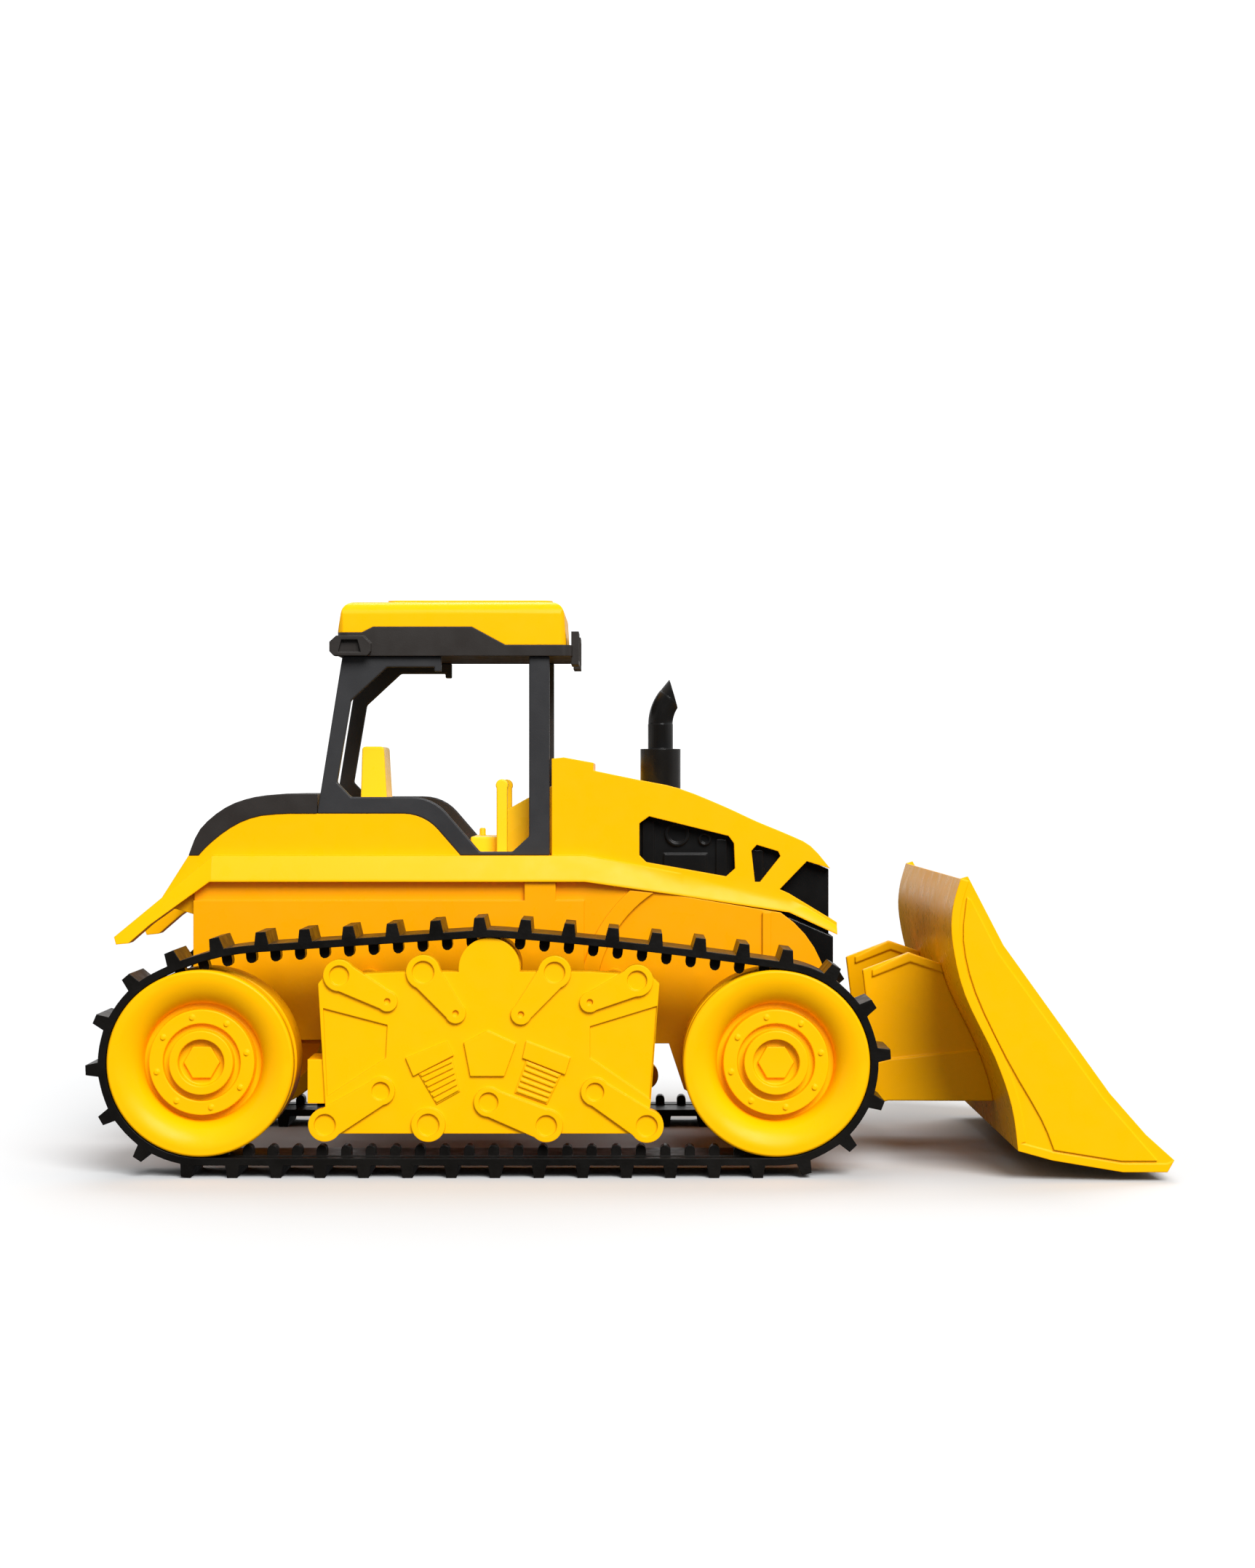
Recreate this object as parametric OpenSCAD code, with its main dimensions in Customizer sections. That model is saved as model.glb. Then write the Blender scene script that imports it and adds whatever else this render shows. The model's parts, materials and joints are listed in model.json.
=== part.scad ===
// Toy bulldozer: a push-along crawler tractor on rubber tracks, with a blade that swings up and down.
// X points forward, Y to the left and Z up. The origin is on the ground, under the middle of the
// bounding box. Side outlines are written as [x, z] points and extruded along Y.

/* [Running gear] */
// Distance between the two axles
wheelbase = 202.7; // [200:0.1:204]
// Distance from the origin back to the rear-most lug, and forward to the blade's cutting edge
half_length = 190.5; // [190:0.1:192]
// Width over the outer faces of the tracks
track_span = 178; // [176:1:182]
// Width of one rubber track
track_width = 29; // [28:1:30]
// Diameter of the steel axles
axle_d = 4; // [3.5:0.1:4.5]

/* [Rubber track] */
// Radius of the track's inner face where it wraps a wheel
belt_radius = 33.2; // [33:0.1:33.5]
// Thickness of the track between its lugs
belt_thickness = 2.6; // [2.2:0.1:3]
// Height of an outer lug
lug_height = 4.4; // [4:0.1:4.8]
// Number of outer lugs
lug_count = 40; // [36:1:44]
// Height of an inner tooth
tooth_height = 4; // [3.5:0.1:4.2]
// Number of inner teeth
tooth_count = 71; // [66:1:74]

/* [Body] */
// Half width of the chassis tub
chassis_half = 36; // [35:0.5:36.5]
// Half width of the deck
deck_half = 40; // [39:0.5:44]
// Half width of the cab
cab_half = 34; // [33:0.5:35]
// Half width of the roof
roof_half = 36; // [35:0.5:38]
// Height of the deck's top face
deck_top = 112; // [111.5:0.1:112.5]
// Thickness of the moulded walls
wall = 2.2; // [2:0.1:2.4]

/* [Blade] */
// Width of the blade
blade_width = 196; // [190:1:204]
// Diameter of the pins on which the push arms swing
pivot_d = 6; // [5:0.1:6.5]

/* [Hidden] */
$fn = 64;
clear = 0.08;
axle_z = belt_radius + belt_thickness + lug_height;
rear_x = -half_length + axle_z;
front_x = rear_x + wheelbase;
track_outer = track_span / 2;
track_inner = track_outer - track_width;
wheel_r = belt_radius - 0.3;
deck_bottom = deck_top - 9.6;
blade_half = blade_width / 2;
pivot = [57.5, 17.5];
arm_inner = chassis_half + 0.8;
arm_outer = arm_inner + 5.2;

// ---------- helpers ----------

// Extrudes a side outline from y0 to y1.
module slab(y0, y1) {
    translate([0, y1, 0]) rotate([90, 0, 0]) linear_extrude(y1 - y0) children();
}

// Extrudes a front outline, written as [y, z], from x0 to x1.
module front_slab(x0, x1) {
    translate([x0, 0, 0]) rotate([90, 0, 90]) linear_extrude(x1 - x0) children();
}

// A cylinder along Y, centred on a side position.
module rod(at, r, y0, y1) {
    slab(y0, y1) translate(at) circle(r);
}

// A cylinder along Z.
module post(at, r, z0, z1) {
    translate([at[0], at[1], z0]) cylinder(h = z1 - z0, r = r);
}

// The children, and their mirror image on the other side.
module both_sides() {
    children();
    mirror([0, 1, 0]) children();
}

function unit(v) = v / norm(v);
function left_normal(v) = [-v[1], v[0]];
function arc(c, r, a0, a1, n) =
    [for (i = [0:n]) let (a = a0 + (a1 - a0) * i / n) c + r * [cos(a), sin(a)]];
function ellipse_arc(c, rx, rz, a0, a1, n) =
    [for (i = [0:n]) let (a = a0 + (a1 - a0) * i / n) c + [rx * cos(a), rz * sin(a)]];
function reversed(list) = [for (i = [len(list) - 1:-1:0]) list[i]];

// A smooth curve through the points of a list, with n steps between neighbours.
function spline_point(a, b, c, d, t) =
    0.5 * (2 * b + (c - a) * t + (2 * a - 5 * b + 4 * c - d) * t * t
        + (3 * b - a - 3 * c + d) * t * t * t);
function spline(p, n) = concat(
    [for (i = [0:len(p) - 2], j = [0:n - 1])
        spline_point(p[max(i - 1, 0)], p[i], p[i + 1], p[min(i + 2, len(p) - 1)], j / n)],
    [p[len(p) - 1]]);

// A chain of points moved to its left by t.
function shifted(p, t) =
    [for (i = [0:len(p) - 1])
        p[i] + t * left_normal(unit(p[min(i + 1, len(p) - 1)] - p[max(i - 1, 0)]))];

// The slope and rounded shoulder at the front of the sill, from its foot up and back to its top.
shoulder_slope = 49;
shoulder_r = 17;
function shoulder(foot_x, top) =
    let (z = top - shoulder_r * (1 - cos(shoulder_slope)),
         x = foot_x - (z - deck_top) / tan(shoulder_slope),
         c = [x - shoulder_r * sin(shoulder_slope), top - shoulder_r])
    concat([[foot_x, deck_top]], arc(c, shoulder_r, 90 - shoulder_slope, 90, 6));

// ---------- rubber track ----------

// Where the track leaves and meets its guides, as angles on the wheels and on the guide bump.
rear_leave = 118;
bend_end = 94.3;
bend_r = 85;
bump = [-48.6, 73.6];
bump_r = 10.8;
bump_leave = 86;
front_meet = 82;
rear_c = [rear_x, axle_z];
front_c = [front_x, axle_z];
bend_c = rear_c + (belt_radius - bend_r) * [cos(rear_leave), sin(rear_leave)];

// A shallow curve from p to q, leaving and arriving at right angles to the radii at a and b.
function run(p, a, q, b, n) =
    let (m = norm(q - p), u = m * [sin(a), -cos(a)], v = m * [sin(b), -cos(b)])
    [for (i = [1:n - 1]) let (t = i / n)
        (2 * t * t * t - 3 * t * t + 1) * p + (t * t * t - 2 * t * t + t) * u
        + (3 * t * t - 2 * t * t * t) * q + (t * t * t - t * t) * v];

bump_last = bump + (bump_r + 0.3) * [cos(bump_leave), sin(bump_leave)];
front_first = front_c + belt_radius * [cos(front_meet), sin(front_meet)];
loop = concat(
    arc(rear_c, belt_radius, 180, rear_leave, 12),
    arc(bend_c, bend_r, rear_leave - 3, bend_end, 6),
    arc(bump, bump_r + 0.3, bend_end, bump_leave, 3),
    run(bump_last, bump_leave, front_first, front_meet, 10),
    arc(front_c, belt_radius, front_meet, -90, 34),
    arc(rear_c, belt_radius, 270, 180, 18));

// Length along the loop up to its point i.
function lengths(i = 1, sum = 0, list = [0]) =
    i == len(loop) ? list
    : let (s = sum + norm(loop[i] - loop[i - 1])) lengths(i + 1, s, concat(list, [s]));
loop_s = lengths();
loop_length = loop_s[len(loop_s) - 1];
loop_x = [for (i = [0:len(loop) - 1]) [loop_s[i], loop[i][0]]];
loop_z = [for (i = [0:len(loop) - 1]) [loop_s[i], loop[i][1]]];
function wrapped(s) = s - loop_length * floor(s / loop_length);
function on_loop(s) = [lookup(wrapped(s), loop_x), lookup(wrapped(s), loop_z)];
function along(s) = unit(on_loop(s + 0.6) - on_loop(s - 0.6));

// The point at length s, moved out of the loop by h and along it by t.
function off_loop(s, h, t = 0) = on_loop(s) + h * left_normal(along(s)) + t * along(s);

lug_base = 5;
lug_tip = 3.5;
lug_pitch = loop_length / lug_count;
lug_start = -2;
function lug_points(s) = [
    off_loop(s, belt_thickness, -lug_base / 2),
    off_loop(s, belt_thickness + lug_height, -lug_tip / 2),
    off_loop(s, belt_thickness + lug_height, lug_tip / 2),
    off_loop(s, belt_thickness, lug_base / 2)];
function outer_loop() = [for (i = [0:lug_count - 1]) let (s = lug_start + i * lug_pitch)
    each concat(lug_points(s), [for (j = [1:3])
        off_loop(s + lug_base / 2 + (lug_pitch - lug_base) * j / 4, belt_thickness)])];
function plain_loop() = [for (i = [0:151]) off_loop(loop_length * i / 152, 0)];

// The row of round-tipped teeth stands on a pad, a little proud of the plain strips beside it.
tooth_w = 3.6;
tooth_start = 1;
pad = 0.3;
tooth_pitch = loop_length / tooth_count;
function tooth_points(s) = concat(
    [off_loop(s, -pad, -tooth_w / 2)],
    [for (p = arc([0, tooth_w / 2 - tooth_height], tooth_w / 2, 180, 360, 5))
        off_loop(s, p[1], p[0])],
    [off_loop(s, -pad, tooth_w / 2)]);
function toothed_loop() = [for (i = [0:tooth_count - 1]) let (s = tooth_start + i * tooth_pitch)
    each concat(tooth_points(s), [off_loop(s + tooth_pitch / 2, -pad)])];

// Where the row of teeth lies, from the track's outer edge.
row_margin = 5.3;
row_w = 6;

module track_side(outer) {
    edge = outer - track_width;
    difference() {
        slab(edge, outer) polygon(outer_loop());
        slab(edge - 1, outer + 1) polygon(toothed_loop());
        slab(outer - row_margin, outer + 1) polygon(plain_loop());
        slab(edge - 1, outer - row_margin - row_w) polygon(plain_loop());
    }
}

module track_left() {
    color("#161616") track_side(track_outer);
}

module track_right() {
    color("#161616") mirror([0, 1, 0]) track_side(track_outer);
}

// ---------- wheels and axles ----------

hub_r = 8;
bore_depth = 14;
groove_r = belt_radius - tooth_height - 0.3;

// Half section of a wheel, as [radius, depth from the outer face].
function wheel_section() = concat(
    [[0, 6.2], [hub_r, 6.2], [hub_r + 0.2, 2.8], [11.3, 2.8], [11.5, 6.8], [13.5, 6.8],
     [13.7, 4.6], [18.6, 4.6], [18.9, 9.4], [20.8, 9.4]],
    ellipse_arc([32, 9.4], 11.2, 9.4, 184, 262, 8),
    [[32.2, 0], [wheel_r, 0.7], [wheel_r, row_margin - 0.3], [groove_r, row_margin - 0.3],
     [groove_r, row_margin + row_w + 0.3], [wheel_r, row_margin + row_w + 0.3],
     [wheel_r, track_width], [groove_r - 2, track_width], [groove_r - 2, 12.5],
     [hub_r, 12.5], [hub_r, track_width], [axle_d / 2, track_width],
     [axle_d / 2, bore_depth], [0, bore_depth]]);

bolt_dots = 8;
module wheel(x) {
    translate([x, track_outer, axle_z]) rotate([90, 0, 0]) {
        rotate_extrude($fn = 96) polygon(wheel_section());
        translate([0, 0, 4.8]) cylinder(h = 2, r = 6.4, $fn = 6);
        for (i = [0:bolt_dots - 1])
            rotate(i * 360 / bolt_dots + 12) translate([16.2, 0, 4]) cylinder(h = 1.4, r = 0.9);
    }
}

module wheel_front_left() {
    color("gold") wheel(front_x);
}

module wheel_front_right() {
    color("gold") mirror([0, 1, 0]) wheel(front_x);
}

module wheel_rear_left() {
    color("gold") wheel(rear_x);
}

module wheel_rear_right() {
    color("gold") mirror([0, 1, 0]) wheel(rear_x);
}

axle_half = track_outer - bore_depth;
module front_axle() {
    color("silver") rod(front_c, axle_d / 2, -axle_half, axle_half);
}

module rear_axle() {
    color("silver") rod(rear_c, axle_d / 2, -axle_half, axle_half);
}

// ---------- chassis ----------

floor_z = 42.5;
nose_arc_c = [35.8, 58.6];
function chassis_outline() = concat(
    [[-160.2, floor_z], [-158, 32], [-150, 28], [-140, 28], [-122, floor_z],
     [15.3, floor_z], [16.7, 38.2], [20.9, 25.6], [48, 10], [66, 10], [73.5, 26]],
    arc(nose_arc_c, 38.5, -14, 57, 8),
    [[20.8, 96.9], [-14.9, deck_bottom - 0.1], [-158, deck_bottom - 0.1],
     [-160.2, deck_bottom - 2]]);
chassis_hollow = [[-158, floor_z + wall], [90, floor_z + wall], [90, 130], [-158, 130]];

screw_spots = [[-140, 22], [-22, 22]];
frame_posts = [[-95, 66], [-5, 66], [-95, 52], [-5, 52]];
bulge_half = chassis_half + 2.5;

module chassis_side() {
    slab(chassis_half - 0.1, bulge_half)
        polygon([[-160.2, 46], [-158, 44], [-20, 44], [-16, 48], [-16, 95.5], [-160.2, 95.5]]);
    slab(chassis_half - 0.1, bulge_half)
        translate([-38, 94]) square([11.5, deck_bottom - 94.1]);
    slab(chassis_half - 0.1, chassis_half + 1.4) intersection() {
        difference() {
            translate(nose_arc_c) circle(53.5);
            translate(nose_arc_c) circle(47.5);
        }
        polygon([[-30, 60], [12, 72], [12, 98], [-16, 101], [-30, 90]]);
    }
    slab(chassis_half - 0.1, chassis_half + 1.2) translate([49.9, 62]) square([3.1, 29]);
    rod(front_c, 7, chassis_half - 0.1, track_inner - 0.5);
    rod(rear_c, 7, chassis_half - 0.1, track_inner - 0.5);
}

module chassis() {
    color("gold") difference() {
        union() {
            difference() {
                slab(-chassis_half, chassis_half) polygon(chassis_outline());
                slab(wall - chassis_half, chassis_half - wall) polygon(chassis_hollow);
                // the lobes round the axles and the pivots are two plain cheeks
                translate([-170, 8 - chassis_half, 0])
                    cube([260, 2 * chassis_half - 16, floor_z]);
            }
            both_sides() chassis_side();
            for (p = screw_spots, s = [-1, 1]) post([p[0], s * p[1]], 4.5, 28, 92);
        }
        for (p = screw_spots, s = [-1, 1]) {
            post([p[0], s * p[1]], 1.6, 20, 93);
            post([p[0], s * p[1]], 3.4, 20, 78);
        }
        rod(front_c, axle_d / 2 + clear, -90, 90);
        rod(rear_c, axle_d / 2 + clear, -90, 90);
        both_sides() rod(pivot, pivot_d / 2, 20, 60);
        both_sides() for (p = frame_posts) rod(p, 1.6, 20, 60);
    }
}

// ---------- upper body ----------

rear_x0 = -162.7;
cowl_seam = -115;
hump_top = 127.5;
hood_back = -28.1;
crease_x = -15.7;
nose_x = 77.8;
hump_half = cab_half - 0.4;
hood_half = 34;
nose_half = 31;

// The black trim's inner edge at the rear, which is the hump's rounded back.
function hump_back() = spline([[-158.9, deck_top], [-156.2, 115], [-150.5, 119.9], [-143.6, 124.2],
    [-135.5, 126.8], [-125.1, hump_top]], 2);
function hump_outline() = concat(
    [[-150, 90], [-160, 90], [-168.5, 92.5], [-172.6, 96.4], [rear_x0, deck_top]],
    hump_back(), reversed(shoulder(-61.9, hump_top)), [[-61.9, 90]]);
function hump_hollow() = concat(
    [[-150, 92.2], [-160, 92.2], [-167.5, 94.6], [-169.6, 96.8], [rear_x0 + wall + 0.6, deck_top - 1]],
    ellipse_arc([-125.1, deck_top - wall], 29.3, hump_top - deck_top, 180, 90, 8),
    [[-83, hump_top - wall], [-74, 122], [-64.5, deck_top - wall], [-61.8, deck_top - wall],
     [-61.8, 88]]);

function hood_top() = concat(
    [[hood_back, 147.9], [-23.6, 148.4], [-12.6, 146.4], [-12.6, 143.6]],
    spline([[-12.5, 143.5], [4.4, 140], [19.4, 136.8], [35.7, 130.3], [47.8, 124.7],
        [59.1, 120], [68, 115.5], [75.4, 107]], 3));
function hood_outline() = concat(
    [[hood_back, 100]], hood_top(),
    [[66.6, 109.8], [56.5, 99.4], [59.9, 97.9], [nose_x, 87], [nose_x, 82.6],
     [61.7, 90.6], [57.2, 91.3], [20.8, 97], [-10, 100]]);
function hood_hollow() = concat(
    [[hood_back + wall, 80], [hood_back + wall, 145.6], [-14.8, 144], [-14.8, 141.5]],
    spline([[-12.5, 141], [4.2, 137.7], [18.8, 134.6], [34.8, 128.2], [47, 122.5],
        [58.2, 117.8], [66.5, 113.6], [72, 107.6]], 3),
    [[nose_x - wall, 100], [nose_x - wall, 80]]);

// Cross-sections of the band round the body, with a sloping face: [x, half width, bottom, top].
band_slope = 3.4;
rear_band = [-153.5, deck_half, deck_bottom, deck_top];
crease_band = [crease_x, deck_half, deck_bottom, deck_top];
hood_band = [20.8, 36.2, 97, 105];
front_band = [59.9, 33.8, 90.9, 97.9];
nose_band = [nose_x, 33, 82.6, 87.1];

module band_section(b) {
    front_slab(b[0] - 0.01, b[0]) polygon([
        [-b[1], b[2]], [b[1], b[2]], [b[1], b[2] + 1.2], [b[1] - band_slope, b[3]],
        [band_slope - b[1], b[3]], [-b[1], b[2] + 1.2]]);
}

module band_between(a, b) {
    hull() {
        band_section(a);
        band_section(b);
    }
}

function tail_outline() = [
    [-153.4, deck_top - 0.1], [-189.8, 81.9], [-188.8, 79.2], [-184, 79.7], [-176.2, 86.5],
    [-154.1, deck_bottom], [-153.4, deck_bottom]];

// Plan outlines, written as [x, y].
function hood_plan(inset) = [
    [hood_back + inset, -hood_half + inset], [crease_x, -hood_half + inset],
    [nose_x - inset, -nose_half + inset], [nose_x - inset, nose_half - inset],
    [crease_x, hood_half - inset], [hood_back + inset, hood_half - inset]];
function band_plan(inset) = [
    [-40, -deck_half + inset], [crease_x, -deck_half + inset], [20.8, -36.2 + inset],
    [59.9, -33.8 + inset], [nose_x + 1, -33 + inset], [nose_x + 1, 33 - inset],
    [59.9, 33.8 - inset], [20.8, 36.2 - inset], [crease_x, deck_half - inset],
    [-40, deck_half - inset]];

window_1 = [[8, 126.5], [37.5, 119.2], [39.5, 116.5], [39.9, 107.1], [36.6, 104.2],
    [7, 109.5], [4.4, 112.1], [4.4, 123.9]];
window_2 = [[48, 115.9], [55.9, 113.5], [56.8, 111.7], [49.2, 102.1], [47.3, 102.1],
    [46, 113.7]];

module upper_body_solid() {
    slab(-hump_half, hump_half) polygon(hump_outline());
    band_between(rear_band, crease_band);
    band_between(crease_band, hood_band);
    band_between(hood_band, front_band);
    band_between(front_band, nose_band);
    both_sides() intersection() {
        slab(29, deck_half) polygon(tail_outline());
        // the sloping face, level with the band's
        translate([-153.4, 0, deck_top]) rotate([0, -39.5, 0]) front_slab(-60, 20)
            polygon([[29, -20], [deck_half, -20], [deck_half, -6.4],
                [deck_half - band_slope, 0.2], [29, 0.2]]);
    }
    intersection() {
        slab(-60, 60) polygon(hood_outline());
        translate([0, 0, 70]) linear_extrude(90) polygon(hood_plan(0));
    }
}

module upper_body_hollow() {
    slab(5.4 - deck_half, deck_half - 5.4)
        polygon([[-151, 90], [-30, 90], [-30, deck_top - wall], [-151, deck_top - wall]]);
    slab(wall - hump_half, hump_half - wall) polygon(hump_hollow());
    intersection() {
        slab(-60, 60) polygon([[-31, 80], [-31, deck_top - wall], [-16, deck_top - wall],
            [10, 104], [42, 98], [60, 94.5], [nose_x - wall, 85.2], [nose_x - wall, 80]]);
        translate([0, 0, 70]) linear_extrude(60) polygon(band_plan(5.4));
    }
    intersection() {
        slab(-60, 60) polygon(hood_hollow());
        translate([0, 0, 70]) linear_extrude(90) polygon(hood_plan(wall));
    }
    slab(-60, 60) polygon(window_1);
    slab(-60, 60) polygon(window_2);
    // the body drops over the chassis
    slab(-chassis_half - clear, chassis_half + clear) polygon(chassis_outline());
    // the collar of the exhaust is pressed into the hood
    post([stack_x, 0], collar_r, 120, 150);
}

module upper_body() {
    color("gold") difference() {
        union() {
            difference() {
                upper_body_solid();
                upper_body_hollow();
            }
            for (s = [-1, 1]) {
                post([screw_spots[0][0], s * screw_spots[0][1]], 4.5, 92, hump_top - 3);
                post([screw_spots[1][0], s * screw_spots[1][1]], 4.5, 92, 144.5);
            }
        }
        for (p = screw_spots, s = [-1, 1]) post([p[0], s * p[1]], 1.5, 90, 106);
    }
}

// ---------- pieces on the body ----------

engine_half = 28;
engine_relief = 1.2;
module engine_insert() {
    color("#2a2725") {
        slab(-engine_half, engine_half)
            polygon([[1, 99], [1, 129], [20, 127], [34, 124], [47, 119.5], [57, 115.5], [57, 99]]);
        for (x = [14, 44]) post([x, 0], 4, floor_z + wall, 100);
        both_sides() slab(engine_half - 0.5, engine_half + engine_relief) {
            translate([5.5, 101]) square([4.5, 24]);
            translate([33, 101]) square([4, 17]);
            translate([13.5, 104]) square([16, 8.5]);
            translate([46.5, 101]) square([4, 13]);
            difference() {
                translate([18.5, 120]) circle(4.6);
                translate([18.5, 120]) circle(3.4);
            }
            difference() {
                translate([28.8, 118]) circle(2.4);
                translate([28.8, 118]) circle(1.5);
            }
        }
    }
}

slat_count = 9;
module radiator_grille() {
    color("#1d1b1a") difference() {
        union() {
            slab(4.2 - nose_half, nose_half - 4.2)
                polygon([[58, 60], [75, 60], [75, 106.8], [70, 108.3], [66, 111], [58, 114]]);
            slab(wall - chassis_half + 0.1, chassis_half - wall - 0.1)
                polygon([[58, floor_z + wall], [72.5, floor_z + wall], [76.2, 52], [76.2, 82],
                    [60, 89], [58, 89]]);
        }
        for (i = [0:slat_count - 1])
            translate([73.4, -24, 50 + i * 5.8]) cube([8, 48, 3]);
    }
}

stack_x = 12.6;
collar_r = 7.7;
stack_r = 4.7;
elbow_z = 161.4;
elbow_r = 15.8;

elbow_turn = 39;

// The straight end of the pipe above its bend, between two lengths from the bend.
module pipe_end(r, from, to) {
    translate([stack_x + elbow_r * (1 - cos(elbow_turn)), 0, elbow_z + elbow_r * sin(elbow_turn)])
        rotate([0, elbow_turn, 0]) translate([0, 0, from]) cylinder(h = to - from, r = r);
}

module exhaust_stack() {
    color("#232221") difference() {
        union() {
            post([stack_x, 0], collar_r, 133, 151.9);
            post([stack_x, 0], stack_r + 0.1, 151, elbow_z);
            translate([stack_x + elbow_r, 0, elbow_z]) rotate([90, 0, 0])
                rotate([0, 0, 180 - elbow_turn]) rotate_extrude(angle = elbow_turn)
                    translate([elbow_r, 0]) circle(stack_r);
            pipe_end(stack_r - 0.1, -0.5, 9);
        }
        // the slanting mouth
        slab(-6, 6) polygon([[13.5, 187.2], [20, 164.8], [32, 164.8], [32, 187.2]]);
        pipe_end(stack_r - 1.2, -1, 12);
    }
}

cowl_top = 135;
function cowl_outline() = concat(
    spline([[rear_x0, deck_top], [-158.4, 121.8], [-149, 129.8], [-138.2, 133.7],
        [-126, cowl_top]], 3),
    [[cowl_seam, cowl_top], [cowl_seam, hump_top]], reversed(hump_back()));
function cowl_hollow() = concat(
    ellipse_arc([-130.2, deck_top], 29.3, cowl_top - deck_top - wall, 180, 90, 8),
    [[cowl_seam - wall, cowl_top - wall], [cowl_seam - wall, hump_top - 1]],
    [[-130, hump_top - 1], [-156, deck_top]]);
module rear_cowl() {
    color("#2e2a28") difference() {
        slab(-cab_half, cab_half) polygon(cowl_outline());
        slab(wall - cab_half, cab_half - wall) polygon(cowl_hollow());
        slab(-cab_half - 1, cab_half + 1) polygon(hump_outline());
    }
}

pillar_t = 3.5;
rim_bottom = 185.9;
sill_top = 133.7;
function cab_outline() = concat(
    [[-105.7, rim_bottom], [cowl_seam + 0.1, 128.5], [cowl_seam + 0.1, hump_top]],
    reversed(shoulder(-61.9, hump_top)),
    [[-28.9, deck_top], [-28.9, rim_bottom], [-36.5, rim_bottom], [-36.5, 119.1],
     [-42.7, deck_top + 1.4], [-54.7, deck_top + 1.4]],
    [for (p = shoulder(-53.4, sill_top)) if (p[1] > deck_top + 2) p],
    [[-102.4, sill_top], [-107.6, 139.2], [-102.5, 169.4], [-89.1, 181.8], [-71.6, 181.8],
     [-71.6, 180.1], [-69.1, 180.1], [-69.1, rim_bottom]]);

module cab_frame() {
    slab(cab_half - pillar_t, cab_half) polygon(cab_outline());
}

module cab_frame_left() {
    color("#3a3a3c") cab_frame();
}

module cab_frame_right() {
    color("#3a3a3c") mirror([0, 1, 0]) cab_frame();
}

// The line on the roof's side where the yellow cap meets the black rim.
roof_line = [[-107.5, 194.6], [-98.3, 194.6], [-94.1, 196.7], [-57.6, 196.7], [-45.2, 190]];
roof_rear = -107.5;
roof_front = -22.7;
rim_front = -20.4;
module roof_frame() {
    color("#302b28") {
        difference() {
            intersection() {
                slab(-roof_half, roof_half) polygon(concat([[roof_rear, rim_bottom]],
                    roof_line, [[rim_front, 190], [rim_front, rim_bottom]]));
                translate([0, 0, 180]) linear_extrude(20)
                    polygon(rounded(roof_rear, rim_front, roof_half, 4));
            }
            slab(wall - roof_half, roof_half - wall)
                polygon([[roof_rear + wall, 188], [roof_front, 188], [roof_front, 200],
                    [roof_rear + wall, 200]]);
        }
        // work lamps at the rear corners
        both_sides() difference() {
            slab(roof_half - 4, roof_half + 3) polygon([[-110, 187.5], [-108.5, rim_bottom],
                [-96, rim_bottom], [-94.7, 187.5], [-94.7, 190.5], [-97.5, 193.3], [-107.5, 193.3],
                [-110, 191]]);
            slab(roof_half + 1, roof_half + 4)
                polygon([[-106.8, 187.2], [-98.4, 187.2], [-99.6, 191.8], [-105.6, 191.8]]);
        }
        // lamp plates on the front edge
        both_sides() translate([rim_front - 0.5, 12, 182.8]) difference() {
            cube([2.8, 20, 12.4]);
            translate([1.6, 1.8, 1.8]) cube([3, 16.4, 8.8]);
        }
    }
}

cap_top = 206.1;
cap_r = 5;
function cap_side() = concat(
    roof_line, [[roof_front, 190]],
    arc([-23.4 - cap_r, cap_top - cap_r], cap_r, 5, 90, 6),
    arc([-106.2 + cap_r, cap_top - cap_r], cap_r, 90, 172, 6));
function cap_front() = concat(
    [[-roof_half, 180], [roof_half, 180]],
    arc([roof_half - cap_r - 0.5, cap_top - cap_r], cap_r, 5, 90, 6),
    arc([cap_r + 0.5 - roof_half, cap_top - cap_r], cap_r, 90, 175, 6));
function rounded(x0, x1, half, r) = concat(
    arc([x1 - r, half - r], r, 0, 90, 6), arc([x0 + r, half - r], r, 90, 180, 6),
    arc([x0 + r, r - half], r, 180, 270, 6), arc([x1 - r, r - half], r, 270, 360, 6));

module roof_cap() {
    color("gold") {
        difference() {
            intersection() {
                slab(-roof_half, roof_half) polygon(cap_side());
                front_slab(-120, 0) polygon(cap_front());
                translate([0, 0, 180]) linear_extrude(40)
                    polygon(rounded(roof_rear, roof_front, roof_half, 4));
            }
            slab(3 - roof_half, roof_half - 3) polygon([[-104, 180], [-25.8, 180],
                [-26.4, 200.5], [-29.5, 203.6], [-99.5, 203.6], [-103.2, 200]]);
        }
        // the raised panel on top
        translate([0, 0, cap_top - 1]) linear_extrude(1.8)
            polygon(rounded(-89.5, -28, roof_half - 8, 4));
    }
}

seat_half = 13;
module seat() {
    color("gold") slab(-seat_half, seat_half) polygon([
        [-101, hump_top], [-100.3, 152], [-99.5, 152.7], [-92.8, 152.7], [-92, 152],
        [-90.9, 132.5], [-75, 131.5], [-73.5, 130], [-74, hump_top]]);
}

module console() {
    color("gold") {
        slab(-16, 16) polygon([[-49.4, deck_top], [-46.5, 128.2], [-38.4, 132.8],
            [hood_back, 138], [hood_back, deck_top]]);
        slab(-18, 18) translate([-59, deck_top]) square([10.5, 6.7]);
        post([-56, 12], 1.2, 118, 121.6);
    }
}

module control_levers() {
    color("gold") for (y = [-22, 22]) {
        slab(y - 2.2, y + 2.2) translate([-49, deck_top]) square([4, 26]);
        slab(y - 2.2, y + 2.2) translate([-47, 138]) circle(2.3);
    }
}

// ---------- track frames ----------

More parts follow.
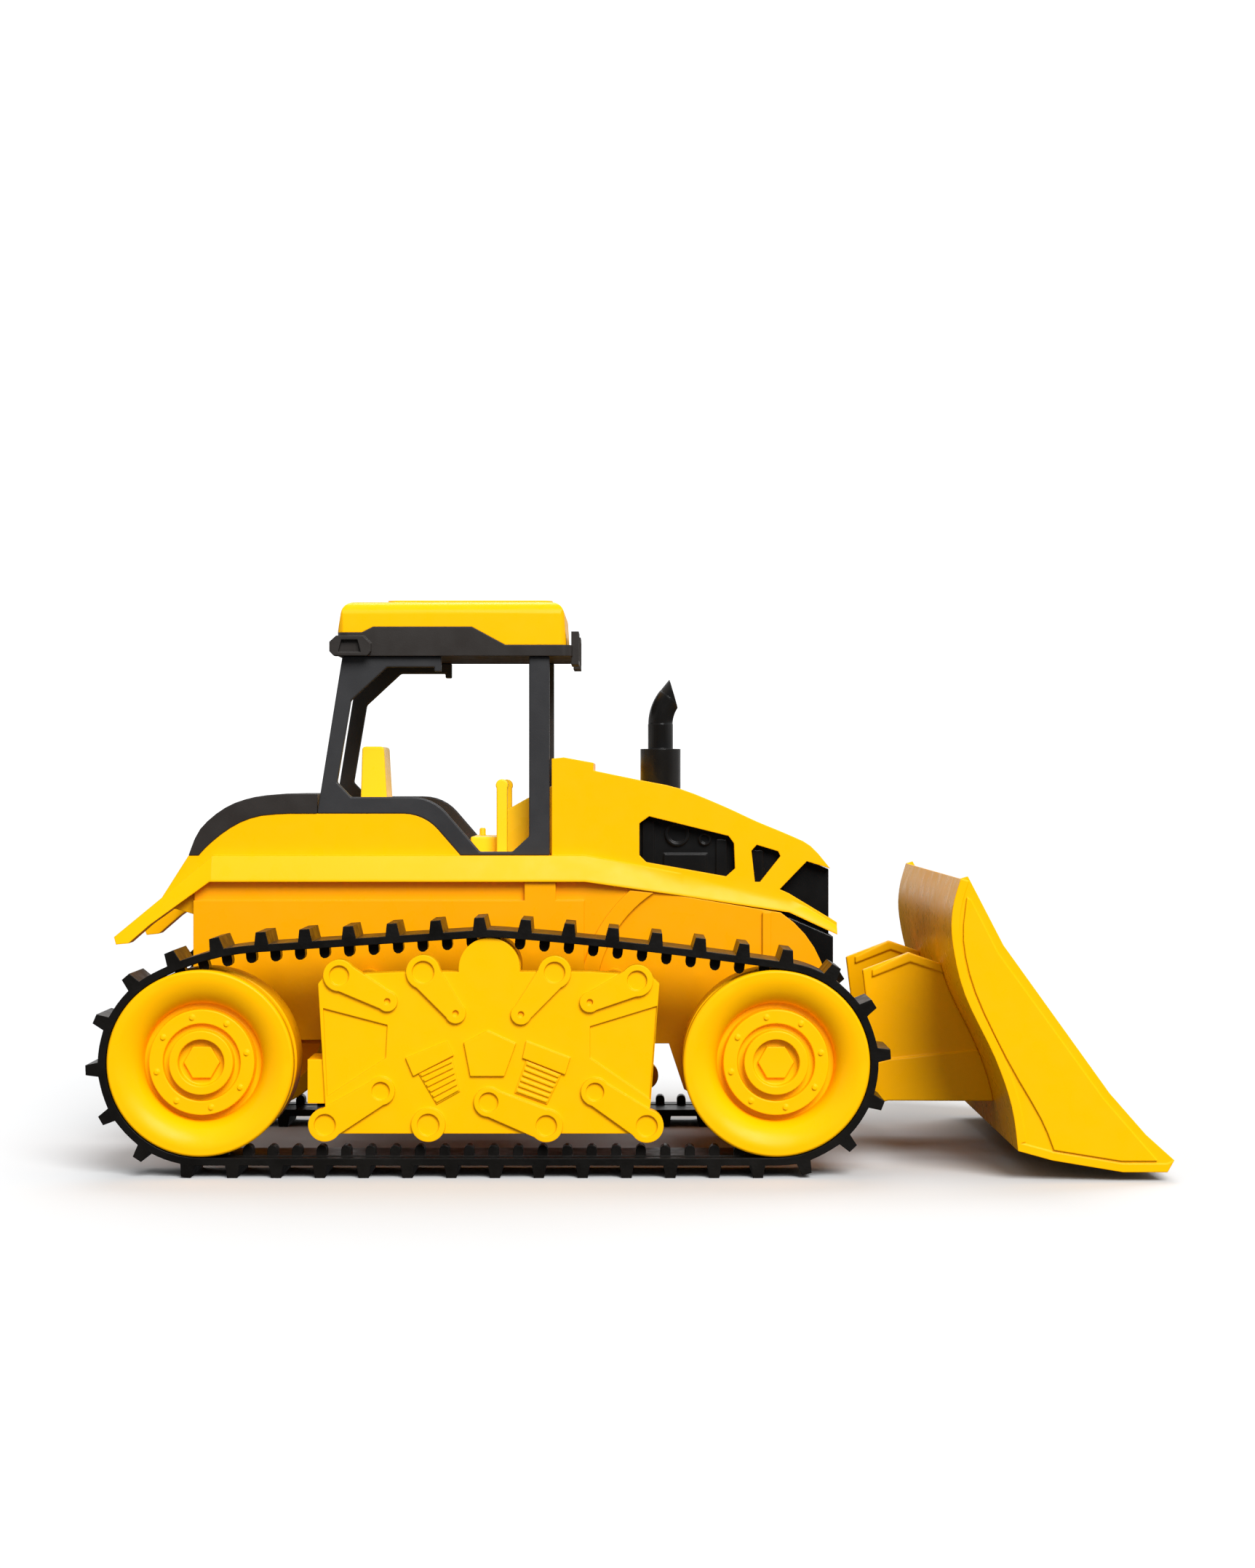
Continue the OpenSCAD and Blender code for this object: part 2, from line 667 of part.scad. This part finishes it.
plate_face = track_outer - 1.2;
plate_back = track_outer - row_margin + 0.2;
boss_rim = 2.1;

// Moulded links: [foot centre, foot radius, head centre, head radius], and a boss on its own.
boss = [[-70, 18.7], 6];
links = [
    [[-101.3, 71.2], 5.6, [-84.4, 62.1], 3.6],
    [[-71.8, 72.4], 6.0, [-60.4, 57.9], 3.6],
    [[-25.6, 72.3], 5.8, [-37.4, 57.5], 3.6],
    [[3.4, 69.4], 5.6, [-13.2, 61.8], 3.6],
    [[-106.3, 18.7], 5.9, [-86.7, 30.6], 5.0],
    [[-28.5, 18.4], 5.8, [-48.8, 26.7], 5.2],
    [[6.8, 18.3], 5.9, [-11.4, 30.3], 5.0]];

// Two discs and the straight web between them, a little narrower than the discs.
module link_shape(k) {
    a = k[0];
    b = k[2];
    n = left_normal(unit(b - a));
    wa = k[1] * 0.93;
    wb = k[3] * 0.93;
    translate(a) circle(k[1]);
    translate(b) circle(k[3]);
    polygon([a + wa * n, a - wa * n, b - wb * n, b + wb * n]);
}

plate_outline = [[-106.4, 15.5], [6.8, 15.5], [8.2, 26.7], [11.2, 68.2], [8.3, 71],
    [-13.4, 72.4], [-77.3, 72.4], [-91.9, 71.8], [-107.4, 70], [-108.8, 68.2], [-106.3, 25.7]];
plate_hollow = [[-104, 24], [5.6, 24], [8.8, 67.4], [7.4, 68.9], [-13.4, 70.2], [-77.3, 70.2],
    [-91.8, 69.6], [-105.6, 68], [-106.6, 67], [-104.2, 27]];
recess_rear = [[-107, 59.6], [-84.4, 53.7], [-85, 42.2], [-105.6, 28.6]];
recess_front = [[-13.2, 53.2], [-13.2, 42.2], [8, 27.6], [10.4, 60.4]];
pentagon = [[-57.5, 47.6], [-49.3, 51.8], [-39.2, 47.2], [-43.3, 35.8], [-55.2, 35.8]];
spring_front = [[[-35.6, 48.1], [-20.1, 42.2], [-21.9, 36.3], [-36.9, 42.2]],
    [[-35.6, 41.3], [-23.3, 36.3], [-28.3, 25.8], [-39.7, 29.9]]];
spring_rear = [[[-78, 42.2], [-63.4, 48.1], [-61.1, 43.1], [-75.3, 35.8]],
    [[-73.5, 36.7], [-61.6, 42.2], [-58.9, 30.4], [-67.1, 25.8]]];
spring_coils = 6;

// A line across a spring's body, a share t of the way down it and just inside its edges.
function across(p, t) =
    let (a = p[0] + t * (p[3] - p[0]), b = p[1] + t * (p[2] - p[1]))
    [a + 0.04 * (b - a), b + 0.04 * (a - b)];

module spring_relief(s) {
    slab(plate_face - 0.2, track_outer - 0.3) polygon(s[0]);
    slab(plate_face - 0.2, plate_face + 0.4) polygon(s[1]);
    for (i = [0:spring_coils - 1]) {
        top = across(s[1], (i + 0.25) / spring_coils);
        low = across(s[1], (i + 0.7) / spring_coils);
        slab(plate_face + 0.1, track_outer - 0.3) polygon(concat(top, reversed(low)));
    }
}

module track_frame() {
    difference() {
        union() {
            slab(plate_back - 6, plate_face) polygon(plate_outline);
            // the beam behind the panel
            slab(track_inner + 4, plate_face - 1) translate([-112.6, 26]) square([112, 15.5]);
            for (k = links) slab(plate_back, track_outer) link_shape(k);
            rod(boss[0], boss[1], plate_back, track_outer);
            spring_relief(spring_front);
            spring_relief(spring_rear);
            slab(plate_face - 0.2, track_outer - 0.2) polygon(pentagon);
            // the fixed bump that the track's upper run slides over
            rod(bump, bump_r, plate_back, plate_face);
            rod(bump, bump_r - tooth_height - 0.1, track_inner + 2, plate_face);
            rod(bump, bump_r, track_inner + 2, track_outer - row_margin - row_w - 0.3);
        }
        difference() {
            slab(plate_back - 7, plate_face - wall) polygon(plate_hollow);
            slab(track_inner, plate_face) translate([-112.6, 26]) square([112, 15.5]);
        }
        slab(track_inner + 3, plate_back - wall) translate([-110.4, 28.2]) square([107.6, 11.1]);
        rod(boss[0], boss[1] - boss_rim, track_outer - 1, track_outer + 1);
        for (k = links) {
            rod(k[0], k[1] - boss_rim, track_outer - 1, track_outer + 1);
            rod(k[2], k[3] > 4 ? k[3] - 1.8 : 1.1, track_outer - 1, track_outer + 1);
        }
        slab(plate_face - 0.8, track_outer + 1) polygon(recess_rear);
        slab(plate_face - 0.8, track_outer + 1) polygon(recess_front);
    }
    for (p = frame_posts) difference() {
        rod(p, 4.5, p[0] < -16 ? bulge_half : chassis_half, plate_face - 1);
        rod(p, 1.5, 30, 56);
    }
}

module track_frame_left() {
    color("gold") track_frame();
}

module track_frame_right() {
    color("gold") mirror([0, 1, 0]) track_frame();
}

// ---------- blade ----------

blade_t = 3;
blade_back = concat(
    spline([[116, 105.5], [113.2, 95], [113.2, 83], [117.5, 65], [128, 43], [133.8, 26],
        [136, 10.6]], 4),
    [[148, 7.3], [172.6, 3.2], [half_length - 2.4, 3.2]]);
blade_front = shifted(blade_back, blade_t);
blade_tip = [half_length, 7.4];
end_t = 2.2;

function moldboard() = concat(blade_back, [blade_tip], reversed(blade_front));
function end_plate() = concat(blade_back,
    [blade_tip, [180.6, 16.3], [168, 30.7], [131, 82.3], [118.6, 106.3]]);
function end_relief() = concat(
    spline([[118.2, 99], [117, 84], [121.2, 66], [132, 43], [144, 22], [148.5, 11]], 3),
    [[172, 7.2], [184.5, 7.2], [178, 14.6], [165.6, 29], [129, 79.6], [119.6, 98]]);

blade_screw_spots = [[-20, 30], [20, 30]];
module blade() {
    color("gold") difference() {
        union() {
            slab(-blade_half + 0.5, blade_half - 0.5) polygon(moldboard());
            both_sides() {
                slab(blade_half - 0.8 - end_t, blade_half - 0.8) polygon(end_plate());
                slab(blade_half - 1, blade_half) polygon(end_relief());
            }
            intersection() {
                for (p = blade_screw_spots)
                    translate([104, p[0], p[1]]) rotate([0, 90, 0]) cylinder(h = 32, r = 4.5);
                slab(-60, 60) polygon(concat([[90, 105.5]], blade_front, [[90, 0]]));
            }
        }
        for (p = blade_screw_spots)
            translate([100, p[0], p[1]]) rotate([0, 90, 0]) cylinder(h = 22, r = 1.5);
    }
}

bar_x = 98;
module push_arm() {
    difference() {
        union() {
            rod(pivot, 7, arm_inner, arm_outer);
            slab(arm_inner, arm_outer) polygon([[57.5, 24.2], [80, 33], [96, 37.2], [140, 42],
                [140, 21.8], [96, 22], [76, 17.5], [57.5, 10.8]]);
            slab(arm_inner + 1, arm_outer - 1) polygon([[84, 33], [88.5, 54], [86.5, 70],
                [103.5, 76.5], [122, 70], [140, 40]]);
            slab(arm_inner, arm_outer) polygon([[90, 70], [103.5, 76.5], [122, 70], [122, 67],
                [104, 73], [90, 67.5]]);
        }
        rod(pivot, pivot_d / 2 + clear, 30, 60);
        slab(30, 60) polygon(concat(blade_back, [[200, 3], [200, 106]]));
    }
}

module push_frame() {
    color("gold") {
        both_sides() push_arm();
        difference() {
            translate([bar_x, -arm_inner - 0.5, 24]) cube([6, 2 * arm_inner + 1, 12]);
            for (p = blade_screw_spots)
                translate([90, p[0], p[1]]) rotate([0, 90, 0]) cylinder(h = 20, r = 1.6);
        }
    }
}

pin_head_r = 5;
module blade_pivot_pins() {
    color("silver") both_sides() {
        rod(pivot, pivot_d / 2, chassis_half - 6, arm_outer + 0.3);
        rod(pivot, pin_head_r, arm_outer + 0.2, arm_outer + 2.2);
    }
}

module pivot_washers() {
    color("#444444") both_sides() difference() {
        rod(pivot, 6, chassis_half, chassis_half + 0.75);
        rod(pivot, pivot_d / 2 + 0.05, chassis_half - 1, chassis_half + 2);
    }
}

// ---------- fasteners ----------

screw_r = 1.45;
screw_head_r = 3;
module body_screws() {
    color("silver") for (p = screw_spots, s = [-1, 1]) {
        post([p[0], s * p[1]], screw_r, 77, 104);
        post([p[0], s * p[1]], screw_head_r, 75.8, 78);
    }
}

module track_frame_screws() {
    color("silver") both_sides() for (p = frame_posts) {
        rod(p, screw_r, chassis_half - wall - 1, 54);
        rod(p, screw_head_r, chassis_half - wall - 2.2, chassis_half - wall);
    }
}

module blade_screws() {
    color("silver") for (p = blade_screw_spots) translate([bar_x, p[0], p[1]]) rotate([0, 90, 0]) {
        translate([0, 0, -1]) cylinder(h = 22, r = screw_r);
        translate([0, 0, -2.2]) cylinder(h = 2.2, r = screw_head_r);
    }
}

chassis();
upper_body();
engine_insert();
radiator_grille();
exhaust_stack();
rear_cowl();
cab_frame_right();
cab_frame_left();
roof_frame();
roof_cap();
seat();
console();
control_levers();
front_axle();
rear_axle();
wheel_front_right();
wheel_front_left();
wheel_rear_right();
wheel_rear_left();
track_right();
track_left();
track_frame_right();
track_frame_left();
blade();
push_frame();
blade_pivot_pins();
pivot_washers();
body_screws();
track_frame_screws();
blade_screws();
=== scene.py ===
"""Toy bulldozer: looks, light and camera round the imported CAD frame."""

import json
import math

import bmesh
import bpy
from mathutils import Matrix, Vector


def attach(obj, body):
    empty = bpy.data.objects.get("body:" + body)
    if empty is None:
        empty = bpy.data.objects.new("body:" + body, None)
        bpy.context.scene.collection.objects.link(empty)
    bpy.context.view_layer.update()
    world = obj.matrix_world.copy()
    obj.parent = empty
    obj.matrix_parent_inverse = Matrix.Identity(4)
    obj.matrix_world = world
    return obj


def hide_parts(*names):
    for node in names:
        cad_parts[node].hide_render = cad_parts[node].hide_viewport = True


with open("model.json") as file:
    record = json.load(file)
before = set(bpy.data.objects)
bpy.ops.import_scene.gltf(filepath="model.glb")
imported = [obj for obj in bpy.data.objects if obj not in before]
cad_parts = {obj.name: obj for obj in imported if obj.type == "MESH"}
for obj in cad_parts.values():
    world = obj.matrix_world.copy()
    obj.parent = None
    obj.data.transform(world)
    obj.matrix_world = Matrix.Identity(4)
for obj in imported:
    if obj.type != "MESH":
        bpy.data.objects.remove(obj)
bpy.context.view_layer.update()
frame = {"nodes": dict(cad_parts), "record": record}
nodes = frame["nodes"]
record = frame["record"]
MM = 0.001

# Linear colours. The second of each pair shows in slow patches and on edges; on the edges it is
# wear on the yellows and a painted edge highlight on the black plastics.
YELLOW = (0.96, 0.46, 0.0)
YELLOW_WORN = (0.98, 0.5, 0.0)
# A darker copy of the yellow for the chassis: painted shade for its place recessed under the deck
# and behind the tracks.
PAINTED_SHADE_YELLOW = (0.85, 0.35, 0.0)
PAINTED_SHADE_YELLOW_WORN = (0.88, 0.38, 0.0)
# A lighter copy of the yellow for the seat, console and levers: painted light against the shade
# under the roof.
PAINTED_LIGHT_YELLOW = (1.0, 0.62, 0.01)
PAINTED_LIGHT_YELLOW_WORN = (1.0, 0.66, 0.02)
# The second colours of the black, pillar and gloss black plastics pale their edges as a painted
# edge highlight.
BLACK = (0.022, 0.018, 0.016)
BLACK_PATCH_AND_EDGE_HIGHLIGHT = (0.04, 0.036, 0.033)
PILLAR_GREY = (0.027, 0.027, 0.029)
PILLAR_GREY_PATCH_AND_EDGE_HIGHLIGHT = (0.045, 0.045, 0.047)
GLOSS_BLACK = (0.004, 0.004, 0.004)
GLOSS_BLACK_PATCH_AND_EDGE_HIGHLIGHT = (0.02, 0.02, 0.02)
WASHER = (0.05, 0.05, 0.05)
WASHER_WORN = (0.07, 0.07, 0.07)
RUBBER = (0.004, 0.0035, 0.003)
RUBBER_DUSTY = (0.008, 0.007, 0.006)
STEEL = (0.62, 0.62, 0.64)
STEEL_DULL = (0.5, 0.5, 0.5)

# ---------- shader nodes ----------


def new_material(name):
    mat = bpy.data.materials.new(name)
    mat.use_nodes = True
    tree = mat.node_tree
    return mat, tree, tree.nodes["Principled BSDF"]


def add(tree, kind, **inputs):
    """A new shader node. An underscore in an input's name stands for a space."""
    node = tree.nodes.new(kind)
    for key, value in inputs.items():
        node.inputs[key.replace("_", " ")].default_value = value
    return node


def noise(tree, scale, detail=4.0):
    coords = tree.nodes.new("ShaderNodeTexCoord")
    tex = add(tree, "ShaderNodeTexNoise", Scale=scale, Detail=detail, Roughness=0.5)
    tree.links.new(coords.outputs["Object"], tex.inputs["Vector"])
    return tex.outputs["Fac"]


def remap(tree, value, low, high, start=0.35, end=0.65):
    """value from start to end, spread over low to high."""
    node = add(tree, "ShaderNodeMapRange", From_Min=start, From_Max=end, To_Min=low, To_Max=high)
    tree.links.new(value, node.inputs["Value"])
    return node.outputs["Result"]


def product(tree, value, factor):
    """value times factor, which is a number or another output."""
    node = tree.nodes.new("ShaderNodeMath")
    node.operation = "MULTIPLY"
    tree.links.new(value, node.inputs[0])
    if isinstance(factor, float):
        node.inputs[1].default_value = factor
    else:
        tree.links.new(factor, node.inputs[1])
    return node.outputs["Value"]


def mix(tree, fac, a, b):
    """Colour a where fac is 0 and b where it is 1. Each is a colour or an output."""
    node = tree.nodes.new("ShaderNodeMix")
    node.data_type = "RGBA"
    for socket, value in (("A", a), ("B", b)):
        target = [s for s in node.inputs if s.name == socket and s.type == "RGBA"][0]
        if isinstance(value, tuple):
            target.default_value = (*value, 1.0)
        else:
            tree.links.new(value, target)
    tree.links.new(fac, node.inputs["Factor"])
    return [s for s in node.outputs if s.type == "RGBA"][0]


def mix_shader(tree, fac, a, b):
    node = tree.nodes.new("ShaderNodeMixShader")
    tree.links.new(fac, node.inputs["Fac"])
    tree.links.new(a, node.inputs[1])
    tree.links.new(b, node.inputs[2])
    return node.outputs["Shader"]


def rounded_normal(tree, radius):
    """Normals that run smoothly over each edge."""
    node = add(tree, "ShaderNodeBevel", Radius=radius)
    node.samples = 4
    return node.outputs["Normal"]


def edge_mask(tree, radius):
    """1 along convex and concave edges, 0 on open surfaces."""
    geometry = tree.nodes.new("ShaderNodeNewGeometry")
    dot = tree.nodes.new("ShaderNodeVectorMath")
    dot.operation = "DOT_PRODUCT"
    tree.links.new(rounded_normal(tree, radius), dot.inputs[0])
    tree.links.new(geometry.outputs["Normal"], dot.inputs[1])
    return remap(tree, dot.outputs["Value"], 1.0, 0.0, 0.75, 0.99)


def grain(tree, bsdf, scale, detail, strength, depth, edge_radius):
    """Fine relief over rounded edges."""
    bump = add(tree, "ShaderNodeBump", Strength=strength, Distance=depth)
    tree.links.new(noise(tree, scale, detail), bump.inputs["Height"])
    tree.links.new(rounded_normal(tree, edge_radius), bump.inputs["Normal"])
    tree.links.new(bump.outputs["Normal"], bsdf.inputs["Normal"])


# ---------- materials ----------

PLASTIC_EDGE = 0.6 * MM
RUBBER_EDGE = 0.4 * MM


def plastic(name, base, patch_and_edge_tone, rough, relief, relief_scale, edge_wear_and_highlight=0.5, spec=0.5):
    """Moulded plastic: slow colour drift, uneven gloss, fine grain and slightly pale edges. The
    pale edges are wear on the yellows and a painted edge highlight on the black plastics.
    """
    mat, tree, bsdf = new_material(name)
    drift = remap(tree, noise(tree, 18.0, 3.0), 0.0, 0.35)
    # Pale edges: wear on the yellows, a painted edge highlight on the black plastics.
    edges = product(tree, edge_mask(tree, PLASTIC_EDGE), edge_wear_and_highlight)
    colour = mix(tree, edges, mix(tree, drift, base, patch_and_edge_tone), patch_and_edge_tone)
    tree.links.new(colour, bsdf.inputs["Base Color"])
    gloss = remap(tree, noise(tree, 140.0, 5.0), rough - 0.05, rough + 0.07)
    tree.links.new(gloss, bsdf.inputs["Roughness"])
    bsdf.inputs["Specular IOR Level"].default_value = spec
    grain(tree, bsdf, relief_scale, 3.0, relief, 0.1 * MM, PLASTIC_EDGE)
    return mat


def yellow_plastic(name, base, patch_and_edge_tone, spec):
    return plastic(name, base, patch_and_edge_tone, 0.3, 0.12, 1400.0, edge_wear_and_highlight=0.35, spec=spec)


def rubber(name):
    """Soft black rubber with an uneven sheen and a coarser grain."""
    mat, tree, bsdf = new_material(name)
    dust = remap(tree, noise(tree, 30.0), 0.0, 1.0)
    tree.links.new(mix(tree, dust, RUBBER, RUBBER_DUSTY), bsdf.inputs["Base Color"])
    tree.links.new(remap(tree, noise(tree, 220.0), 0.3, 0.42), bsdf.inputs["Roughness"])
    bsdf.inputs["Specular IOR Level"].default_value = 0.16
    grain(tree, bsdf, 900.0, 4.0, 0.35, 0.2 * MM, RUBBER_EDGE)
    return mat


def metal(name):
    """Plain drawn steel."""
    mat, tree, bsdf = new_material(name)
    bsdf.inputs["Metallic"].default_value = 1.0
    dull = remap(tree, noise(tree, 60.0), 0.0, 1.0)
    tree.links.new(mix(tree, dull, STEEL, STEEL_DULL), bsdf.inputs["Base Color"])
    tree.links.new(remap(tree, noise(tree, 400.0), 0.2, 0.34), bsdf.inputs["Roughness"])
    return mat


yellow = yellow_plastic("yellow_plastic", YELLOW, YELLOW_WORN, 0.1)
# The second yellow is a darker copy, painted shade on the chassis.
painted_shade_yellow = yellow_plastic("painted_shade_yellow_plastic", PAINTED_SHADE_YELLOW, PAINTED_SHADE_YELLOW_WORN, 0.14)
# The third yellow is a lighter copy, painted light on the seat, console and levers.
painted_light_yellow = yellow_plastic("painted_light_yellow_plastic", PAINTED_LIGHT_YELLOW, PAINTED_LIGHT_YELLOW_WORN, 0.2)
# The pale edges of the black, pillar and gloss black plastics are a painted edge highlight.
black = plastic("black_plastic", BLACK, BLACK_PATCH_AND_EDGE_HIGHLIGHT, 0.4, 0.25, 1800.0, spec=0.26)
pillar = plastic(
    "pillar_plastic", PILLAR_GREY, PILLAR_GREY_PATCH_AND_EDGE_HIGHLIGHT, 0.4, 0.25, 1800.0, edge_wear_and_highlight=0.6, spec=0.24
)
gloss_black = plastic(
    "gloss_black_plastic", GLOSS_BLACK, GLOSS_BLACK_PATCH_AND_EDGE_HIGHLIGHT, 0.2, 0.1, 1800.0, edge_wear_and_highlight=0.6, spec=0.25
)
washer = plastic("washer_plastic", WASHER, WASHER_WORN, 0.5, 0.2, 1500.0)

BY_SLOT = {
    "yellow_plastic": yellow,
    "black_plastic": black,
    "track_rubber": rubber("track_rubber"),
    "steel": metal("steel"),
    "washer_plastic": washer,
}
BY_NODE = {
    "cab_frame_left": pillar,
    "cab_frame_right": pillar,
    "exhaust_stack": gloss_black,
    "engine_insert": gloss_black,
    "radiator_grille": gloss_black,
    # Seat, console and levers take the lighter copy of the yellow as painted light.
    "seat": painted_light_yellow,
    "console": painted_light_yellow,
    "control_levers": painted_light_yellow,
    # The chassis takes the darker copy of the yellow as painted shade.
    "chassis": painted_shade_yellow,
}
slot_of = {s["node"]: s["material_slot"] for s in record["subparts"]}
body_of = {n: body for body, members in record["behaviour"]["bodies"].items() for n in members}


def paint(obj, mat):
    obj.data.materials.clear()
    obj.data.materials.append(mat)


for name, obj in nodes.items():
    paint(obj, BY_NODE.get(name, BY_SLOT[slot_of[name]]))

# ---------- moulded edges ----------

SHARP = math.radians(35.0)
CREASE = math.radians(50.0)
FLAT = math.radians(0.3)
WELD = 0.002 * MM


def sharp_edges(bm):
    return [e for e in bm.edges if e.is_manifold and e.calc_face_angle() > SHARP]


def round_edges(bm, edges, width, segments):
    bmesh.ops.bevel(
        bm,
        geom=edges,
        offset=width,
        offset_type="OFFSET",
        segments=segments,
        profile=0.5,
        affect="EDGES",
        clamp_overlap=True,
    )


def merge_flat(bm):
    """Joins the triangles of each flat face. A face that goes round a hole keeps short cuts."""
    group = {f: f for f in bm.faces}
    corners = {f: set(f.verts) for f in bm.faces}

    def root(face):
        while group[face] is not face:
            face = group[face]
        return face

    flat = [e for e in bm.edges if e.is_manifold and e.calc_face_angle() < FLAT]
    joined = []
    for edge in sorted(flat, key=lambda e: -e.calc_length()):
        a, b = (root(f) for f in edge.link_faces)
        if a is not b and len(corners[a] & corners[b]) == 2:
            joined.append(edge)
            group[b] = a
            corners[a] |= corners[b]
    bmesh.ops.dissolve_edges(bm, edges=joined, use_verts=False, use_face_split=False)


def moulded(node, width, wide=None, wide_width=0.0):
    """A copy of the CAD piece that replaces it, with its sharp edges rounded.

    wide picks edges that are rounded first, by wide_width. Both widths are upper limits: the
    bevel stops where two roundings would overlap, so a piece with short edges gets much less.
    """
    source = nodes[node]
    bm = bmesh.new()
    bm.from_mesh(source.data)
    bmesh.ops.remove_doubles(bm, verts=bm.verts, dist=WELD)
    merge_flat(bm)
    if wide:
        round_edges(bm, [e for e in sharp_edges(bm) if wide(e)], wide_width, 4)
    round_edges(bm, sharp_edges(bm), width, 2)
    mesh = bpy.data.meshes.new(node + "_moulded")
    bm.to_mesh(mesh)
    bm.free()
    mesh.shade_smooth()
    mesh.set_sharp_from_angle(angle=CREASE)
    piece = bpy.data.objects.new(node + "_moulded", mesh)
    bpy.context.scene.collection.objects.link(piece)
    even = piece.modifiers.new("even_normals", "WEIGHTED_NORMAL")
    even.keep_sharp = True
    paint(piece, source.data.materials[0])
    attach(piece, body_of[node])
    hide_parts(node)


HOOD_LOW = 106.0 * MM
HOOD_BACK = -30.0 * MM
HOOD_SIDE = 30.5 * MM


def hood_shoulder(edge):
    """Edges that lie high on the hood and out at its sides."""
    a, b = (v.co for v in edge.verts)
    high = min(a.z, b.z) > HOOD_LOW
    ahead = min(a.x, b.x) > HOOD_BACK
    at_side = min(abs(a.y), abs(b.y)) > HOOD_SIDE
    return high and ahead and at_side


# The width asked for on each piece's edges, in millimetres. The body, chassis, roof, tracks and
# track frames come out at a tenth of a millimetre or less, and look rounded by their material.
EDGE_WIDTH = {
    "chassis": 0.5,
    "radiator_grille": 0.3,
    "engine_insert": 0.3,
    "roof_cap": 0.5,
    "roof_frame": 0.5,
    "cab_frame_left": 0.5,
    "cab_frame_right": 0.5,
    "rear_cowl": 1.0,
    "exhaust_stack": 0.4,
    "seat": 0.8,
    "console": 0.6,
    "control_levers": 0.5,
    "blade": 1.0,
    "push_frame": 0.6,
    "track_frame_left": 0.4,
    "track_frame_right": 0.4,
    "track_left": 0.4,
    "track_right": 0.4,
    "wheel_front_left": 0.5,
    "wheel_front_right": 0.5,
    "wheel_rear_left": 0.5,
    "wheel_rear_right": 0.5,
}
moulded("upper_body", 0.5 * MM, hood_shoulder, 2.4 * MM)
for name, width in EDGE_WIDTH.items():
    moulded(name, width * MM)

# ---------- floor ----------

FLOOR_HALF = 6.0
FLOOR_PALE = (0.62, 0.625, 0.63)
FLOOR_BOUNCE = (0.15, 0.15, 0.15)
FLOOR_MIRRORED = 0.03


def floor_material():
    """Pale for the camera, darker in reflections and bounced light, clear when seen from below."""
    mat, tree, bsdf = new_material("pale_floor")
    bsdf.inputs["Roughness"].default_value = 0.9
    bsdf.inputs["Specular IOR Level"].default_value = 0.0
    rays = tree.nodes.new("ShaderNodeLightPath")
    side = tree.nodes.new("ShaderNodeNewGeometry")
    colour = mix(tree, rays.outputs["Is Diffuse Ray"], FLOOR_PALE, FLOOR_BOUNCE)
    tree.links.new(colour, bsdf.inputs["Base Color"])
    mirrored = add(tree, "ShaderNodeEmission", Strength=FLOOR_MIRRORED)
    clear = tree.nodes.new("ShaderNodeBsdfTransparent")
    above = mix_shader(
        tree, rays.outputs["Is Glossy Ray"], bsdf.outputs["BSDF"], mirrored.outputs["Emission"]
    )
    from_below = product(tree, side.outputs["Backfacing"], rays.outputs["Is Camera Ray"])
    whole = mix_shader(tree, from_below, above, clear.outputs["BSDF"])
    tree.links.new(whole, tree.nodes["Material Output"].inputs["Surface"])
    return mat


floor_mesh = bpy.data.meshes.new("floor")
grid = bmesh.new()
bmesh.ops.create_grid(grid, x_segments=1, y_segments=1, size=FLOOR_HALF)
grid.to_mesh(floor_mesh)
grid.free()
floor = bpy.data.objects.new("floor", floor_mesh)
bpy.context.scene.collection.objects.link(floor)
paint(floor, floor_material())

# ---------- light ----------

SEEN = 1.2
AMBIENT = 0.55
REFLECTED = 0.75
REFLECTED_FRONT = 0.02


def studio_world():
    """White for the camera and softer as ambient light.

    Reflections see light from above, the sides and the back, and a dark room on the camera's side.
    """
    world = bpy.data.worlds.new("studio")
    world.use_nodes = True
    tree = world.node_tree
    rays = tree.nodes.new("ShaderNodeLightPath")
    coords = tree.nodes.new("ShaderNodeTexCoord")
    axes = tree.nodes.new("ShaderNodeSeparateXYZ")
    tree.links.new(coords.outputs["Generated"], axes.inputs["Vector"])
    mirrored = remap(tree, axes.outputs["Y"], REFLECTED_FRONT, REFLECTED, -0.8, -0.1)
    by_gloss = add(tree, "ShaderNodeMapRange", To_Min=AMBIENT)
    tree.links.new(mirrored, by_gloss.inputs["To Max"])
    tree.links.new(rays.outputs["Is Glossy Ray"], by_gloss.inputs["Value"])
    by_camera = add(tree, "ShaderNodeMapRange", To_Max=SEEN)
    tree.links.new(rays.outputs["Is Camera Ray"], by_camera.inputs["Value"])
    tree.links.new(by_gloss.outputs["Result"], by_camera.inputs["To Min"])
    backdrop = tree.nodes["Background"]
    backdrop.inputs["Color"].default_value = (1.0, 1.0, 1.0, 1.0)
    tree.links.new(by_camera.outputs["Result"], backdrop.inputs["Strength"])
    return world


def soft_sun(name, towards, irradiance, spread):
    """A wide soft light from a direction, the same over the whole floor."""
    light = bpy.data.lights.new(name, "SUN")
    light.energy = irradiance
    light.angle = math.radians(spread)
    obj = bpy.data.objects.new(name, light)
    obj.rotation_euler = Vector(towards).to_track_quat("Z", "Y").to_euler()
    bpy.context.scene.collection.objects.link(obj)


bpy.context.scene.world = studio_world()
soft_sun("key", (0.3, -0.9, 0.75), 3.8, 34.0)
soft_sun("top", (0.05, 0.8, 1.0), 1.5, 40.0)

# ---------- camera ----------

# Level, on the object's right side, a metre from its near face
camera = bpy.data.cameras.new("camera")
camera.sensor_fit = "VERTICAL"
camera.sensor_height = 36.0
camera.lens = 65.35
camera_obj = bpy.data.objects.new("camera", camera)
camera_obj.location = (0.0, -1.089, 0.1385)
camera_obj.rotation_euler = (math.radians(90.0), 0.0, 0.0)
bpy.context.scene.collection.objects.link(camera_obj)
bpy.context.scene.camera = camera_obj
bpy.context.scene.view_settings.view_transform = "Standard"
